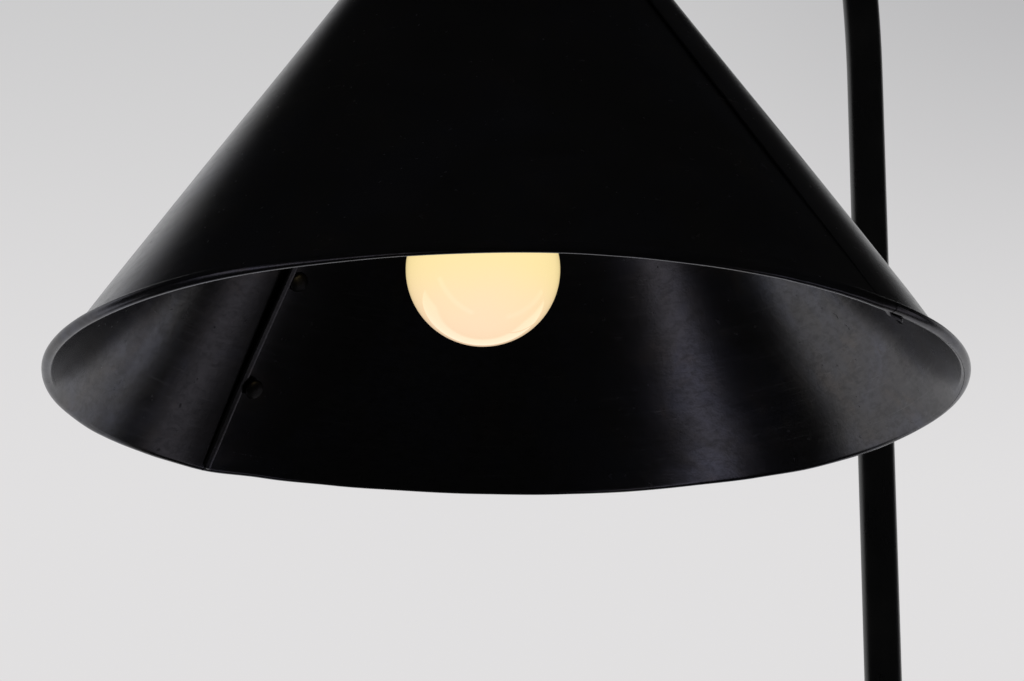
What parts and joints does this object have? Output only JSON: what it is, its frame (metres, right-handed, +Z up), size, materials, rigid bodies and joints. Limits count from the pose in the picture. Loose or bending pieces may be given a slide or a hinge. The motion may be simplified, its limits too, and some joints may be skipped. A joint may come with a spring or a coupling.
{
  "type": "arc floor lamp",
  "caption": "Floor lamp with a round weighted base, a bent tube stem that arcs over, and a large riveted cone shade on a ball joint with a globe bulb.",
  "frame": {"origin": "centre of the base's underside, on the floor", "axes": "+Z up; +X from the stem towards the shade; Y across the arc"},
  "size_m": [0.9719, 0.4728, 1.9497],
  "materials": {
    "felt": "dense felt",
    "base_finish": "fine-textured black powder coat",
    "tube_finish": "satin black",
    "blackened_sheet": "blackened steel, satin, with a waxed patina",
    "rivet_steel": "blackened steel",
    "plated_steel": "zinc plated",
    "nylon": "natural nylon",
    "black_plastic": "phenolic",
    "brass": "lacquered",
    "lead_jacket": "PVC insulation",
    "bulb_cap_metal": "rolled thread",
    "insulator_glass": "pressed glass",
    "opal_glass": "opal, gloss"
  },
  "bodies": {
    "base": {"felt_pad": "felt", "base_plate": "base_finish", "base_cover": "plated_steel", "cover_screws": "plated_steel", "stem_collar": "base_finish", "collar_screws": "plated_steel", "swivel_bush": "nylon", "thrust_washer": "nylon", "stop_pin": "plated_steel", "friction_washer": "plated_steel", "cord_inlet_bush": "black_plastic", "terminal_block": "nylon", "terminal_contacts": "brass", "base_cores": "lead_jacket"},
    "stem": {"stem_foot": "plated_steel", "stop_washer": "plated_steel", "wave_spring": "plated_steel", "spindle_nut": "plated_steel", "lower_tube": "tube_finish", "joint_spigot": "plated_steel", "spigot_screws": "plated_steel", "arc_tube": "tube_finish", "end_plug": "tube_finish", "swivel_bolt": "plated_steel", "swivel_washer": "nylon", "stem_lead": "lead_jacket"},
    "cup": {"ball_cup": "tube_finish", "cup_stop_pin": "plated_steel", "cup_washer": "plated_steel", "seat_spring": "plated_steel", "ball_seat": "nylon", "cup_ring": "tube_finish"},
    "shade": {"ball_stud": "tube_finish", "shade_cap": "blackened_sheet", "clamp_washer": "plated_steel", "hub_nut": "plated_steel", "front_sheet": "blackened_sheet", "rear_sheet": "blackened_sheet", "rim_wire": "blackened_sheet", "front_rivets": "rivet_steel", "rear_rivets": "rivet_steel", "drop_pipe": "plated_steel", "shade_lead": "lead_jacket", "pipe_nut": "plated_steel", "holder_cap": "brass", "holder_shell": "brass", "holder_liner": "black_plastic", "socket_body": "black_plastic", "screw_shell": "brass", "centre_contact": "brass", "terminal_screws": "plated_steel", "holder_cores": "lead_jacket", "bulb_base": "bulb_cap_metal", "bulb_insulator": "insulator_glass", "bulb_contact": "brass", "bulb_glass": "opal_glass", "bulb_filament": "insulator_glass"},
    "switch": {"switch_spindle": "brass", "switch_knob": "black_plastic"}
  },
  "joints": [
    {"name": "stem_swivel", "type": "hinge", "parent": "base", "child": "stem", "pos_m": [-0.124, 0, 0.03], "axis": [0, 0, 1], "range_deg": [-168, 168]},
    {"name": "shade_swivel", "type": "hinge", "parent": "stem", "child": "cup", "pos_m": [0.53, 0, 1.585], "axis": [0, 0, 1], "range_deg": [-165, 165]},
    {"name": "shade_tilt", "type": "hinge", "parent": "cup", "child": "shade", "pos_m": [0.53, 0, 1.565], "axis": [0, 1, 0], "range_deg": [-25, 25]},
    {"name": "switch_turn", "type": "hinge", "parent": "shade", "child": "switch", "pos_m": [0.55421, -0.00518, 1.36822], "axis": [0.9996, 0.001, 0.0292], "continuous": true}
  ]
}
